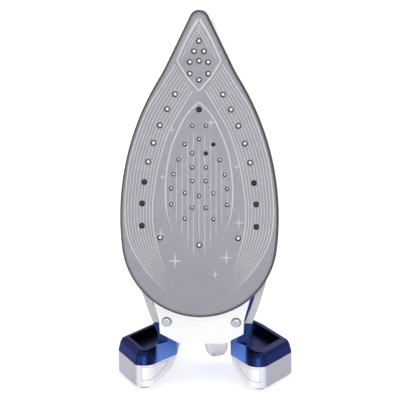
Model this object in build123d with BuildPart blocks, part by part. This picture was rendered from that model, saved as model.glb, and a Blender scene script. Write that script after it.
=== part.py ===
from build123d import *

import os
from math import asin, atan2, cos, degrees, radians, sin, sqrt

os.makedirs("parts", exist_ok=True)

# Steam iron standing on its heel, in millimetres and degrees.
# +Z is up from the table, the sole faces -Y and leans back, and +X is to the right of the sole.
# The iron's own directions are u, from heel to nose along the sole, and n, away from the ironing face.

# Stance
LEAN = 8.0                   # how far the sole leans back from upright
SOLE_REAR = 62.0             # rear end of the sole above the table, along u

# Sole plate and steam holes
SOLE_LENGTH = 236.8
SOLE_WIDTH = 122.2
SOLE_THICK = 3.2
SOLE_EDGE = 2.8              # rounding of the ironing edge
SOLE_WIDEST = 77.4           # widest place before the rear end
SHOULDER = (60.0, 35.25)     # a place that the flanks pass through: distance behind the nose, half width
NECK_RADIUS = 100.0          # slight hollow between flank and nose
NECK_TURN = 5.8
NOSE_RADIUS = 7.6
STEAM_HOLE = 2.1             # mouth radius of the large steam holes
MICRO_HOLE = 1.5             # mouth radius of the small ones
HOLE_TAPER = 0.62            # back radius of a hole as a share of its mouth
FLANK_HOLES = 8              # on each side
FLANK_HOLE_INSET = 17.0
FLANK_HOLE_START = -2.0      # degrees along the flank arc from the widest place
FLANK_HOLE_STEP = 5.3        # first step along the arc
FLANK_HOLE_EASE = 0.22       # each further step is this much shorter
TIP_HOLES = ((23.7, 0.0), (31.6, 3.8), (39.8, 7.0), (38.8, 0.0), (48.7, 7.1), (53.5, 0.0), (76.1, 0.0))
REAR_HOLES = ((175.0, 30.0), (180.5, 0.0))
MICRO_COLUMNS = {            # half spacing of a pair of columns: distances behind the tip
    0.0: (98.9, 142.4),
    5.3: (88.5, 109.7, 120.6, 131.0, 151.7),
    11.0: (102.8, 140.4, 160.2),
    15.7: (114.7,),
    19.7: (126.0,),
    21.5: (136.9, 149.3),
}

# Heating base
CASTING_INSET = 5.0
CASTING_HEIGHT = 14.0
GALLERY_INSET = 10.0
GALLERY_DEPTH = 2.0
HEATER_RADIUS = 3.4
HEATER_LEVEL = 7.8           # axis of the heater above the back of the sole plate
HEATER_REAR = 86.0
HEATER_SETBACK = 54.0        # front of the heater behind the nose
HEATER_SIDE = 30.0
HEATER_BEND = 7.0
TERMINAL_HEIGHT = 10.0       # heater ends above the casting
CHAMBER_SETBACK = 67.0       # front of the steam chamber behind the nose
CHAMBER_LENGTH = 66.0
CHAMBER_HALF = 21.0
CHAMBER_DEPTH = 9.0
GASKET_WIDTH = 3.0
GASKET_THICK = 1.2
COVER_THICK = 1.6
SCREW_RADIUS = 1.5
SCREW_HEAD = 3.2
SCREW_HEAD_HEIGHT = 2.2
SCREW_LENGTH = 8.0
THERMOSTAT_AT = 128.0        # along u; the dial and its shaft stand on the same axis
THERMOSTAT_RADIUS = 11.0
THERMOSTAT_HEIGHT = 8.0
FUSE_AT = 10.8               # middle of the fuse behind the rear end of the chamber's cover
FUSE_RADIUS = 2.6
FUSE_LENGTH = 24.0

# Skirt and the white panel behind the sole
SKIRT_INSET = 1.6
SKIRT_WALL = 2.6
SKIRT_GAP = 1.0              # between the sole plate and the skirt
SKIRT_TOP = 30.0
PANEL_OUTLINE = ((76.0, 38.5), (57.0, 33.0), (46.0, 32.4), (38.2, 17.5))   # u, half width
PANEL_SLOPE = ((76.0, 16.5), (38.2, 22.6))   # underside of the panel, u and n
PANEL_WALL = 3.0
HEEL_SCREW_AT = (55.5, 27.0)
HEEL_SCREW_HEAD = 3.3

# Body above the skirt
BODY_REAR = 40.0
BODY_INSET = 5.0             # sides of the body inside the edge of the sole
BODY_HIP = 222.0             # radius of the sides behind the widest place
BODY_SETBACK = 5.5           # nose of the body behind the nose of the sole
BODY_NOSE = 9.5              # radius of that nose
BODY_TAPER = 6.0             # how far the sides lean in from skirt to deck
DECK = 72.0
SEAM = 0.3                   # gap between fixed pieces
SLOPE_LOW = (7.5, 39.0)      # lower end of the flat front slope: distance behind the body's nose, and n
SLOPE_RUN = 46.0             # length of the slope along u
SLOPE_ROUND = 2.0            # rounding along the edges of slope and deck
TANK_WALL = 2.2
TANK_REAR = 160.0
HOUSING_WALL = 5.5           # sides of the pale housing
DECK_WALL = 2.4
WAIST_TOP = (53.0, 30.0)     # seam between the blue heel and the pale housing, u and n
WAIST_FALL = 0.07            # u lost for each n along that seam
TONGUE = (84.0, 50.0)        # front end and top of the heel's tongue inside the housing, u and n

# Handle loop
HANDLE_CENTRE = 139.0
HANDLE_TOP = 150.0
HANDLE_BEND = 150.0          # outer radius of the arched bar
BAR_WIDTH = 38.0
BAR_HEIGHT = 32.0
BAR_CORNER = 13.0
COVER_SPLIT = 5.0            # seam between handle body and cover above the bar's middle
ELBOW = 40.0                 # radius of each elbow at the bar's middle
LOOP_HALF = 80.0             # from the loop's centre to the middle of a pillar
PILLAR_FOOT = (38.0, 52.0)   # size of a pillar where it lands on the deck, along u and across
REAR_COVER_END = -54.0       # angle on the rear elbow where the cover stops above the cord gland

# Heel, measured on the table: X, and distance behind the sole's line on the table
FOOT_EDGE = (50.5, 16.0)     # crease between the outer side and the front of a foot
FOOT_FRONT = (40.0, 13.5)
FOOT_OUTER = (69.0, 56.0)
FOOT_BACK = (46.0, 98.0)
FOOT_TAIL = (36.0, 112.0)
CHANNEL_HALF = 21.0
CHANNEL_FRONT = 46.0
FOOT_ROUNDS = (9.0, 6.5, 7.0, 14.0, 6.2, 6.2, 8.0)   # front, edge, outer, back, tail and along the channel
FOOT_TOP = 20.0              # silver foot below, blue heel above
FOOT_ARCH = 22.0             # width of the round underside towards the channel
ARCH_LIFT = 4.0              # middle of that round above the top of the foot
PLATE_EDGE = 5.0             # border of the face plate in a foot
PLATE_DROP = 1.6             # top of the face plate below the top of the foot
PLATE_END = 3.0              # face plate beyond the middle of its round side
PLATE_THICK = 1.2
BAND_TOP = 31.0
BAND_SHAPE = ((0.0, 0.0), (0.62, 1.6), (0.89, 3.2), (1.0, 5.4))   # share of the height, and how far drawn in
TRAY_RIM = 3.0
TRAY_DEPTH = 7.0
LEG_HALF = 35.0
CHANNEL_TOP = 37.0
PAD_HEIGHT = 3.0
PAD_RADIUS = 4.5
PAD_SHIFTS = ((5.0, 11.0), (-7.5, 4.0), (-7.0, 0.0))   # pads from the front, outer and back corners of a foot

# Cord gland in the channel
GLAND_AT = (-3.0, 88.0)      # pivot: u from the middle of the rear pillar, and n
GLAND_RADIUS = 10.0
GLAND_LENGTH = 20.0
GLAND_REACH = 31.0           # from the pivot to the middle of the rounded end
GLAND_NOSE = 8.8
GLAND_LEAN = 12.0            # how far the gland hangs to the right
GLAND_BORE = 3.7
GLAND_PIN = 2.5
PIN_SEAT = 4.0               # depth of the pin's ends in the pillar

# Controls
FREE_GAP = 0.4               # between a moving piece and what surrounds it
RUN_FIT = 0.05               # radial clearance of a shaft in its hole
DIAL_RADIUS = 25.0
DIAL_HEIGHT = 8.0
DIAL_FLUTES = 18
SHAFT_RADIUS = 3.0
KNOB_BEHIND = 35.0           # steam knob on the deck behind the middle of the front pillar
KNOB_RADIUS = 9.0
KNOB_HEIGHT = 9.0
NEEDLE_RADIUS = 1.8
SEAT_RADIUS = 5.0
BUTTON_AT = (-4.0, 9.3)      # middle of a button: u from the middle of the front pillar, and X
BUTTON_SIZE = (20.0, 15.0)   # along u and across
BUTTON_BASE = 113.0          # underside of a button, along n
BUTTON_PROUD = 2.0
BUTTON_TRAVEL = 4.0
PUMP_RADIUS = 6.5
PUMP_BORE = 5.5
PUMP_RANGE = (87.0, 106.0)   # ends of a pump barrel, along n
PISTON_LENGTH = 5.0
NOZZLE_LEVEL = 92.0
NOZZLE_RADIUS = 4.5
NOZZLE_RANGE = (5.0, 20.0)   # ends of the nozzle before the middle of the front pillar
LID_START = 9.0              # hinge axis of the filler lid below the deck edge, down the slope
LID_LENGTH = 23.0
LID_HALF = 9.0
LID_THICK = 2.2
KNUCKLE = 1.7
LID_PIN = 0.9
COLLAR_WALL = 1.8
COLLAR_DEPTH = 9.0
GRIP_THICK = 2.4
GRIP_WIDTH = 26.0
GRIP_HALF_ANGLE = 20.0
LENS_ANGLE = -18.0
LENS_RADIUS = 3.5

sin_lean, cos_lean = sin(radians(LEAN)), cos(radians(LEAN))
front_reach = (SOLE_REAR + SOLE_EDGE) * sin_lean
back_reach = HANDLE_CENTRE * sin_lean + (HANDLE_TOP - HANDLE_BEND) * cos_lean + HANDLE_BEND
sole_line = -(front_reach + back_reach) / 2   # Y of the line where the sole's plane meets the table
front_pillar, rear_pillar = HANDLE_CENTRE + LOOP_HALF, HANDLE_CENTRE - LOOP_HALF
knob_at = front_pillar - KNOB_BEHIND

along = Vector(0, sin_lean, cos_lean)
away = Vector(0, cos_lean, -sin_lean)
IRON = Plane(origin=(0, sole_line, 0), x_dir=along, z_dir=away)          # local u, X, n
SIDE = Plane(origin=(0, sole_line, 0), x_dir=along, z_dir=(-1, 0, 0))    # local u, n
TABLE = Plane(origin=(0, sole_line, 0), x_dir=(1, 0, 0), z_dir=(0, 0, 1))  # local X, depth


def level(n):
    """Plane parallel to the sole at height n, with local u and X."""
    return IRON.offset(n)


def at(u, x, n):
    """Point of the iron in its own directions."""
    return IRON.from_local_coords((u, x, n))


def spots(points):
    """Places on the iron, each square to the sole."""
    return [IRON * Location(point) for point in points]


def polar(u, n, angle):
    """Plane through a centre of the handle's side view, local X and radius, turned towards the nose."""
    turn = radians(angle)
    outward = along * sin(turn) + away * cos(turn)
    return Plane(origin=at(u, 0, n), x_dir=(1, 0, 0), z_dir=Vector(1, 0, 0).cross(outward))


def mirrored(points):
    """Points of a half pattern with their mirror images."""
    return [(u, side * x) for u, x in points for side in ((1, -1) if x else (1,))]


# Outline shared by the sole plate and the pieces stacked on it
nose_tip = SOLE_REAR + SOLE_LENGTH
widest = SOLE_REAR + SOLE_WIDEST
shoulder_run, shoulder_fall = nose_tip - SHOULDER[0] - widest, SOLE_WIDTH / 2 - SHOULDER[1]
flank_radius = (shoulder_run**2 + shoulder_fall**2) / (2 * shoulder_fall)
flank_depth = flank_radius - SOLE_WIDTH / 2   # centre of a flank beyond the middle line
rear_reach = widest - SOLE_REAR
rear_radius = (flank_radius**2 - rear_reach**2 - flank_depth**2) / (2 * (flank_radius - rear_reach))
rear_centre = SOLE_REAR + rear_radius
rear_turn = degrees(atan2(widest - rear_centre, flank_depth))


def nose_turn(tip, nose, flank, neck=0.0, turn=0.0):
    """Angle of the straight run to a round nose that follows a flank and its hollow neck smoothly."""
    run = tip - nose - widest
    reach = (flank + neck) * cos(radians(turn)) - neck - nose
    return degrees(asin(reach / sqrt(run**2 + flank_depth**2)) - atan2(flank_depth, run))


sole_turn = nose_turn(nose_tip, NOSE_RADIUS, flank_radius, NECK_RADIUS, NECK_TURN)


def sole_outline(plane, inset=0.0):
    """Outline of the sole, drawn in by an inset: rear arc, flanks, hollow necks and a round nose."""
    with BuildSketch(plane) as outline:
        with BuildLine():
            CenterArc((rear_centre, 0), rear_radius, 90 + rear_turn, 90 - rear_turn)
            flank = CenterArc((widest, -flank_depth), flank_radius, 90 + rear_turn,
                              -rear_turn - sole_turn - NECK_TURN)
            neck = JernArc(flank @ 1, flank % 1, NECK_RADIUS, NECK_TURN)
            nose = CenterArc((nose_tip - NOSE_RADIUS, 0), NOSE_RADIUS, 90 - sole_turn, sole_turn - 90)
            Line(neck @ 1, nose @ 0)
            mirror(about=Plane.XZ)
        make_face()
        if inset:
            offset(amount=-inset)
    return outline.sketch


hole_radius = flank_radius - FLANK_HOLE_INSET
hole_angles = [
    radians(FLANK_HOLE_START + FLANK_HOLE_STEP * i - FLANK_HOLE_EASE * i * (i - 1) / 2)
    for i in range(FLANK_HOLES)
]
flank_holes = [(widest + hole_radius * sin(a), hole_radius * cos(a) - flank_depth) for a in hole_angles]
large_holes = mirrored(flank_holes + [(nose_tip - d, x) for d, x in TIP_HOLES + REAR_HOLES])
micro_holes = mirrored([(nose_tip - d, x) for x, column in MICRO_COLUMNS.items() for d in column])

with BuildPart(IRON) as sole_plate:
    extrude(sole_outline(IRON), amount=SOLE_THICK)
    ironing_face = sole_plate.faces().sort_by(Axis(IRON.origin, IRON.z_dir))[0]
    fillet(ironing_face.edges(), SOLE_EDGE)
    for radius, places in ((STEAM_HOLE, large_holes), (MICRO_HOLE, micro_holes)):
        with Locations(*[(u, x, 0) for u, x in places]):
            Cone(radius, radius * HOLE_TAPER, SOLE_THICK, mode=Mode.SUBTRACT,
                 align=(Align.CENTER, Align.CENTER, Align.MIN))
sole_plate.part.label = "sole_plate"
export_step(sole_plate.part, "parts/sole_plate.step")

# Heating base: a casting over the sole with the heater in it and a steam chamber cut into its top
casting_top = SOLE_THICK + CASTING_HEIGHT
heater_level = SOLE_THICK + HEATER_LEVEL
gasket_top = casting_top + GASKET_THICK
cover_top = gasket_top + COVER_THICK
heater_front = nose_tip - HEATER_SETBACK
chamber_middle = nose_tip - CHAMBER_SETBACK - CHAMBER_LENGTH / 2
lid_half = CHAMBER_HALF + GASKET_WIDTH
lid_length = CHAMBER_LENGTH + 2 * GASKET_WIDTH
screw_ring = [
    (chamber_middle + side * (lid_length / 2 + SCREW_HEAD), x)
    for side in (-1, 1) for x in (-CHAMBER_HALF / 2, CHAMBER_HALF / 2)
]
cover_length = lid_length + 4 * SCREW_HEAD + 2.0


def chamber_outline(plane, length, half):
    """Rounded oblong of the steam chamber, its gasket and its cover."""
    with BuildSketch(plane) as oblong:
        with Locations((chamber_middle, 0)):
            RectangleRounded(length, 2 * half, half / 2)
    return oblong.sketch


with BuildPart(IRON) as heating_element:
    with BuildLine(IRON):
        path = FilletPolyline(
            (HEATER_REAR, HEATER_SIDE, casting_top + TERMINAL_HEIGHT),
            (HEATER_REAR, HEATER_SIDE, heater_level),
            (heater_front, HEATER_SIDE, heater_level),
            (heater_front, -HEATER_SIDE, heater_level),
            (HEATER_REAR, -HEATER_SIDE, heater_level),
            (HEATER_REAR, -HEATER_SIDE, casting_top + TERMINAL_HEIGHT),
            radius=[HEATER_BEND, HEATER_SIDE - 0.1, HEATER_SIDE - 0.1, HEATER_BEND],
        )
    with BuildSketch(Plane(path @ 0, z_dir=path % 0)):
        Circle(HEATER_RADIUS)
    sweep(path=path)
heating_element.part.label = "heating_element"
export_step(heating_element.part, "parts/heating_element.step")

with BuildPart() as heating_casting:
    extrude(sole_outline(level(SOLE_THICK), CASTING_INSET), amount=CASTING_HEIGHT)
    extrude(sole_outline(level(SOLE_THICK), GALLERY_INSET), amount=GALLERY_DEPTH, mode=Mode.SUBTRACT)
    extrude(chamber_outline(level(casting_top), CHAMBER_LENGTH, CHAMBER_HALF), amount=-CHAMBER_DEPTH,
            mode=Mode.SUBTRACT)
    with Locations(*spots([(u, x, casting_top) for u, x in screw_ring])):
        Cylinder(SCREW_RADIUS, SCREW_LENGTH, mode=Mode.SUBTRACT)
    add(heating_element.part, mode=Mode.SUBTRACT)
heating_casting.part.label = "heating_casting"
export_step(heating_casting.part, "parts/heating_casting.step")

with BuildPart(IRON) as chamber_gasket:
    extrude(chamber_outline(level(casting_top), lid_length, lid_half), amount=GASKET_THICK)
    extrude(chamber_outline(level(casting_top), CHAMBER_LENGTH, CHAMBER_HALF), amount=GASKET_THICK,
            mode=Mode.SUBTRACT)
chamber_gasket.part.label = "chamber_gasket"
export_step(chamber_gasket.part, "parts/chamber_gasket.step")

with BuildPart(IRON) as chamber_cover:
    extrude(chamber_outline(level(gasket_top), cover_length, lid_half), amount=COVER_THICK)
    with Locations(*[(u, x, gasket_top) for u, x in screw_ring]):
        Cylinder(SCREW_RADIUS, COVER_THICK, mode=Mode.SUBTRACT,
                 align=(Align.CENTER, Align.CENTER, Align.MIN))
    with Locations((knob_at, 0, gasket_top)):
        Cylinder(SEAT_RADIUS / 2, COVER_THICK, mode=Mode.SUBTRACT,
                 align=(Align.CENTER, Align.CENTER, Align.MIN))
chamber_cover.part.label = "chamber_cover"
export_step(chamber_cover.part, "parts/chamber_cover.step")

with BuildPart(IRON) as cover_screws:
    with Locations(*[(u, x, cover_top) for u, x in screw_ring]):
        Cylinder(SCREW_HEAD, SCREW_HEAD_HEIGHT, align=(Align.CENTER, Align.CENTER, Align.MIN))
        Cylinder(SCREW_RADIUS, SCREW_LENGTH / 2 + cover_top - casting_top,
                 align=(Align.CENTER, Align.CENTER, Align.MAX))
cover_screws.part.label = "cover_screws"
export_step(cover_screws.part, "parts/cover_screws.step")

with BuildPart(IRON) as thermostat:
    with Locations((THERMOSTAT_AT, 0, casting_top)):
        Cylinder(THERMOSTAT_RADIUS, THERMOSTAT_HEIGHT, align=(Align.CENTER, Align.CENTER, Align.MIN))
        Box(2 * THERMOSTAT_RADIUS, 2.6 * THERMOSTAT_RADIUS, THERMOSTAT_HEIGHT / 4,
            align=(Align.CENTER, Align.CENTER, Align.MIN))
thermostat.part.label = "thermostat"
export_step(thermostat.part, "parts/thermostat.step")

with BuildPart(IRON) as thermal_fuse:
    with BuildSketch(SIDE):
        with Locations((chamber_middle - lid_length / 2 - FUSE_AT, casting_top + FUSE_RADIUS)):
            Circle(FUSE_RADIUS)
            Rectangle(2.4 * FUSE_RADIUS, FUSE_RADIUS, align=(Align.CENTER, Align.MAX))
    extrude(amount=FUSE_LENGTH / 2, both=True)
thermal_fuse.part.label = "thermal_fuse"
export_step(thermal_fuse.part, "parts/thermal_fuse.step")

# Skirt round the base, with the white panel that closes the iron behind the sole
skirt_bottom = SOLE_THICK + SKIRT_GAP
skirt_web = SKIRT_TOP - SKIRT_WALL
panel_run = PANEL_SLOPE[0][0] - PANEL_SLOPE[1][0]
panel_rise = PANEL_SLOPE[1][1] - PANEL_SLOPE[0][1]
panel_tilt = degrees(asin(panel_rise / sqrt(panel_run**2 + panel_rise**2)))


def panel_outline(plane, inset=0.0):
    """Tapering outline of the white panel."""
    with BuildSketch(plane) as outline:
        corners = [*PANEL_OUTLINE, *[(u, -x) for u, x in reversed(PANEL_OUTLINE)]]
        Polygon(*corners, align=None)
        fillet(outline.vertices().group_by(Axis.X)[0], 4.0)
        if inset:
            offset(amount=-inset)
    return outline.sketch


def below_panel(thickness):
    """Side view of all that lies below the sloping panel, raised by a thickness."""
    (high_u, high_n), (low_u, low_n) = PANEL_SLOPE
    grade = panel_rise / panel_run
    with BuildSketch(SIDE) as region:
        Polygon(
            (high_u + 10, high_n - 10 * grade + thickness),
            (low_u - 10, low_n + 10 * grade + thickness),
            (low_u - 10, -10),
            (high_u + 10, -10),
            align=None,
        )
    return region.sketch


def panel_point(u):
    """Height of the panel's outer face at u."""
    return PANEL_SLOPE[0][1] + (PANEL_SLOPE[0][0] - u) * panel_rise / panel_run


screw_u, screw_x = HEEL_SCREW_AT
screw_plane = Plane(origin=at(screw_u, 0, panel_point(screw_u)), x_dir=(1, 0, 0),
                    z_dir=(away * panel_run + along * panel_rise).normalized())

with BuildPart(IRON) as panel_hollow:
    extrude(panel_outline(level(0), PANEL_WALL), amount=SKIRT_TOP)
    extrude(below_panel(PANEL_WALL), amount=SOLE_WIDTH, both=True, mode=Mode.SUBTRACT)

with BuildPart() as heat_skirt:
    extrude(panel_outline(level(0)), amount=SKIRT_TOP)
    extrude(below_panel(0), amount=SOLE_WIDTH, both=True, mode=Mode.SUBTRACT)
    add(panel_hollow.part, mode=Mode.SUBTRACT)
    extrude(sole_outline(level(skirt_bottom), SKIRT_INSET), amount=SKIRT_TOP - skirt_bottom)
    extrude(sole_outline(level(skirt_bottom), SKIRT_INSET + SKIRT_WALL), amount=skirt_web - skirt_bottom,
            mode=Mode.SUBTRACT)
    for places, radius in (
        ([(THERMOSTAT_AT, 0)], 2 * SHAFT_RADIUS),
        ([(knob_at, 0)], SEAT_RADIUS),
        ([(HEATER_REAR, HEATER_SIDE), (HEATER_REAR, -HEATER_SIDE)], HEATER_RADIUS + 2),
    ):
        with Locations(*spots([(u, x, SKIRT_TOP) for u, x in places])):
            Cylinder(radius, 2 * SKIRT_WALL, mode=Mode.SUBTRACT)
    with Locations(*[screw_plane * Location((x, 0, 0)) for x in (-screw_x, screw_x)]):
        Cylinder(SCREW_RADIUS, 3 * PANEL_WALL, mode=Mode.SUBTRACT)
heat_skirt.part.label = "heat_skirt"
export_step(heat_skirt.part, "parts/heat_skirt.step")

with BuildPart() as heel_screws:
    with Locations(*[screw_plane * Location((x, 0, 0)) for x in (-screw_x, screw_x)]):
        Cylinder(SCREW_RADIUS, PANEL_WALL, align=(Align.CENTER, Align.CENTER, Align.MIN))
        Cylinder(HEEL_SCREW_HEAD, SCREW_HEAD_HEIGHT, align=(Align.CENTER, Align.CENTER, Align.MAX))
    heads = heel_screws.edges().filter_by(GeomType.CIRCLE).group_by(Axis(IRON.origin, screw_plane.z_dir))[0]
    fillet(heads, 0.9)
    with Locations(*[screw_plane * Location((x, 0, -SCREW_HEAD_HEIGHT)) for x in (-screw_x, screw_x)]):
        Box(1.0, 4.4, 1.6, mode=Mode.SUBTRACT)
        Box(4.4, 1.0, 1.6, mode=Mode.SUBTRACT)
heel_screws.part.label = "heel_screws"
export_step(heel_screws.part, "parts/heel_screws.step")

# Body above the skirt: one form for water tank, pale housing and the upper part of the heel
body_bottom = SKIRT_TOP + SEAM
body_half = SOLE_WIDTH / 2 - BODY_INSET
body_flank = flank_radius - BODY_INSET
body_tip = nose_tip - BODY_SETBACK
body_turn = nose_turn(body_tip, BODY_NOSE, body_flank)
slope_low, slope_foot = body_tip - SLOPE_LOW[0], SLOPE_LOW[1]
slope_end = slope_low - SLOPE_RUN
slope_fall = DECK - slope_foot
lean_in = BODY_TAPER / (DECK - body_bottom)


def hip_arc(inset):
    """Side of the body behind its widest place, drawn in by an inset, with the rear edge."""
    turn = degrees(asin((widest - BODY_REAR - inset) / (BODY_HIP - inset)))
    hip = CenterArc((widest, body_half - BODY_HIP), BODY_HIP - inset, 90 + turn, -turn)
    Line((BODY_REAR + inset, 0), hip @ 0)


def body_outline(plane, inset):
    """Outline of the body, drawn in by an inset: rear edge, hips, flanks and a round nose."""
    with BuildSketch(plane) as outline:
        with BuildLine():
            hip_arc(inset)
            flank = CenterArc((widest, -flank_depth), body_flank - inset, 90, -body_turn)
            nose = CenterArc((body_tip - BODY_NOSE, 0), BODY_NOSE - inset, 90 - body_turn, body_turn - 90)
            Line(flank @ 1, nose @ 0)
            mirror(about=Plane.XZ)
        make_face()
    return outline.sketch


def rear_outline(plane, inset):
    """Outline of the body behind the water tank, drawn in by an inset."""
    turn = degrees(asin((TANK_REAR - widest) / (body_flank - inset)))
    with BuildSketch(plane) as outline:
        with BuildLine():
            hip_arc(inset)
            flank = CenterArc((widest, -flank_depth), body_flank - inset, 90, -turn)
            Line(flank @ 1, (TANK_REAR, 0))
            mirror(about=Plane.XZ)
        make_face()
    return outline.sketch


def above_slope(wall):
    """Side view of the room in front of and above the nose and its slope, moved in by a wall."""
    length = sqrt(SLOPE_RUN**2 + slope_fall**2)
    shift_u, shift_n = wall * slope_fall / length, wall * SLOPE_RUN / length
    with BuildSketch(SIDE) as region:
        Polygon(
            (body_tip + 1 - wall, 0),
            (body_tip + 1 - wall, body_bottom),
            (slope_low - shift_u, slope_foot - shift_n),
            (slope_end - shift_u - 2 * SLOPE_RUN, DECK - shift_n + 2 * slope_fall),
            (body_tip + 30, DECK + 2 * slope_fall),
            (body_tip + 30, 0),
            align=None,
        )
    return region.sketch


def body_form(wall, bottom, top):
    """Body shape with its faces moved in by a wall, between two heights."""
    with BuildPart() as form:
        loft([body_outline(level(n), wall + lean_in * (n - body_bottom)) for n in (bottom, top)], ruled=True)
        extrude(above_slope(wall), amount=SOLE_WIDTH, both=True, mode=Mode.SUBTRACT)
    return form.part


def rear_form(wall, bottom, top):
    """Body shape behind the tank with its faces moved in by a wall, between two heights."""
    with BuildPart() as form:
        loft([rear_outline(level(n), wall + lean_in * (n - body_bottom)) for n in (bottom, top)], ruled=True)
    return form.part


def in_iron(shape):
    """Middle of a shape in the iron's own directions."""
    return IRON.to_local_coords(shape.center())


with BuildPart() as body_shape:
    add(body_form(0, body_bottom, DECK))
    rims = [e for e in body_shape.edges() if in_iron(e).Z > DECK - 0.1 and in_iron(e).X > BODY_REAR + 10]
    for edge in body_shape.edges():
        middle = in_iron(edge)
        if body_bottom + 1 < middle.Z < DECK - 1 and middle.X > slope_end:
            if edge.geom_type != GeomType.LINE or edge.length > SLOPE_RUN:
                rims.append(edge)
    fillet(rims, SLOPE_ROUND)

SLOPE = Plane(   # local x down the front slope from the deck edge, y across, z outward
    origin=at(slope_end, 0, DECK),
    x_dir=(along * SLOPE_RUN - away * slope_fall).normalized(),
    z_dir=(along * slope_fall + away * SLOPE_RUN).normalized(),
)
WAIST = Plane(origin=at(WAIST_TOP[0], 0, WAIST_TOP[1]), z_dir=(along + away * WAIST_FALL).normalized())
mouth_start = LID_START - KNUCKLE - FREE_GAP
mouth_end = LID_START + LID_LENGTH + FREE_GAP
mouth_half = LID_HALF + FREE_GAP
seat_top = body_bottom + TANK_WALL + 3.0


def lid_sketch(depth, start, end, half, corner):
    """Rounded oblong on the front slope at a depth below it."""
    with BuildSketch(SLOPE.offset(-depth)) as oblong:
        with Locations(((start + end) / 2, 0)):
            RectangleRounded(end - start, 2 * half, corner)
    return oblong.sketch


with BuildPart() as tank_hollow:
    add(body_form(TANK_WALL, body_bottom + TANK_WALL, DECK - TANK_WALL))
    split(bisect_by=Plane(origin=at(TANK_REAR + TANK_WALL, 0, 0), z_dir=along), keep=Keep.TOP)

with BuildPart() as water_tank:
    add(body_shape.part)
    split(bisect_by=Plane(origin=at(TANK_REAR, 0, 0), z_dir=along), keep=Keep.TOP)
    add(tank_hollow.part, mode=Mode.SUBTRACT)
    extrude(lid_sketch(2 * TANK_WALL, mouth_start, mouth_end, mouth_half, 0.4), amount=4 * TANK_WALL,
            mode=Mode.SUBTRACT)
    with Locations(*spots([(knob_at, 0, DECK)])):
        Cylinder(NEEDLE_RADIUS + RUN_FIT, 3 * TANK_WALL, mode=Mode.SUBTRACT)
    with Locations(*spots([(knob_at, 0, body_bottom)])):
        Cylinder(SEAT_RADIUS - SEAM, 3 * TANK_WALL, mode=Mode.SUBTRACT)
water_tank.part.label = "water_tank"
export_step(water_tank.part, "parts/water_tank.step")

with BuildPart(IRON) as valve_seat:
    with Locations((knob_at, 0, cover_top)):
        Cylinder(SEAT_RADIUS - SEAM, seat_top - cover_top, align=(Align.CENTER, Align.CENTER, Align.MIN))
        Cylinder(NEEDLE_RADIUS + RUN_FIT, seat_top - cover_top, mode=Mode.SUBTRACT,
                 align=(Align.CENTER, Align.CENTER, Align.MIN))
valve_seat.part.label = "valve_seat"
export_step(valve_seat.part, "parts/valve_seat.step")

# Water filler on the front slope
flange = 2.0
collar_start = LID_START + KNUCKLE + 0.5
collar_half = mouth_half - FREE_GAP
with BuildPart(SLOPE) as filler_collar:
    extrude(lid_sketch(TANK_WALL, mouth_start - flange, mouth_end + flange, mouth_half + flange, 3.0),
            amount=-COLLAR_WALL)
    extrude(lid_sketch(TANK_WALL, collar_start, mouth_end, collar_half, 2.0), amount=-COLLAR_DEPTH)
    extrude(lid_sketch(TANK_WALL, collar_start + COLLAR_WALL, mouth_end - COLLAR_WALL,
                       collar_half - COLLAR_WALL, 2.0), amount=-COLLAR_DEPTH, mode=Mode.SUBTRACT)
    extrude(lid_sketch(TANK_WALL, mouth_start, mouth_end, mouth_half, 2.0), amount=-FREE_GAP,
            mode=Mode.SUBTRACT)
    with Locations((LID_START, 0, -LID_THICK / 2)):
        Cylinder(KNUCKLE + FREE_GAP, 2 * mouth_half, rotation=(90, 0, 0), mode=Mode.SUBTRACT)
    for side in (-1, 1):
        with Locations((LID_START, side * (mouth_half - 1.2), -LID_THICK / 2)):
            Cylinder(KNUCKLE, 2.4, rotation=(90, 0, 0))
            Box(2 * KNUCKLE, 2.4, 2 * KNUCKLE, align=(Align.CENTER, Align.CENTER, Align.MAX))
            Cylinder(LID_PIN, 2.4, rotation=(90, 0, 0), mode=Mode.SUBTRACT)
filler_collar.part.label = "filler_collar"
export_step(filler_collar.part, "parts/filler_collar.step")

knuckle_half = mouth_half - 2.4 - FREE_GAP
with BuildPart(SLOPE) as filler_lid:
    extrude(lid_sketch(0, LID_START + KNUCKLE + FREE_GAP, LID_START + LID_LENGTH, LID_HALF, 2.0),
            amount=-LID_THICK)
    extrude(lid_sketch(0, LID_START, LID_START + LID_LENGTH / 2, knuckle_half, 0.5), amount=-LID_THICK)
    with Locations((LID_START, 0, -LID_THICK / 2)):
        Cylinder(KNUCKLE, 2 * knuckle_half, rotation=(90, 0, 0))
        Cylinder(LID_PIN + RUN_FIT, 2 * knuckle_half, rotation=(90, 0, 0), mode=Mode.SUBTRACT)
    with Locations((LID_START + LID_LENGTH - 3.0, 0, 0)):
        Box(1.6, LID_HALF, 1.4, align=(Align.CENTER, Align.CENTER, Align.MIN))
filler_lid.part.label = "filler_lid"
export_step(filler_lid.part, "parts/filler_lid.step")

with BuildPart(SLOPE) as lid_pin:
    with Locations((LID_START, 0, -LID_THICK / 2)):
        Cylinder(LID_PIN, 2 * (mouth_half - SEAM), rotation=(90, 0, 0))
lid_pin.part.label = "lid_pin"
export_step(lid_pin.part, "parts/lid_pin.step")

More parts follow.
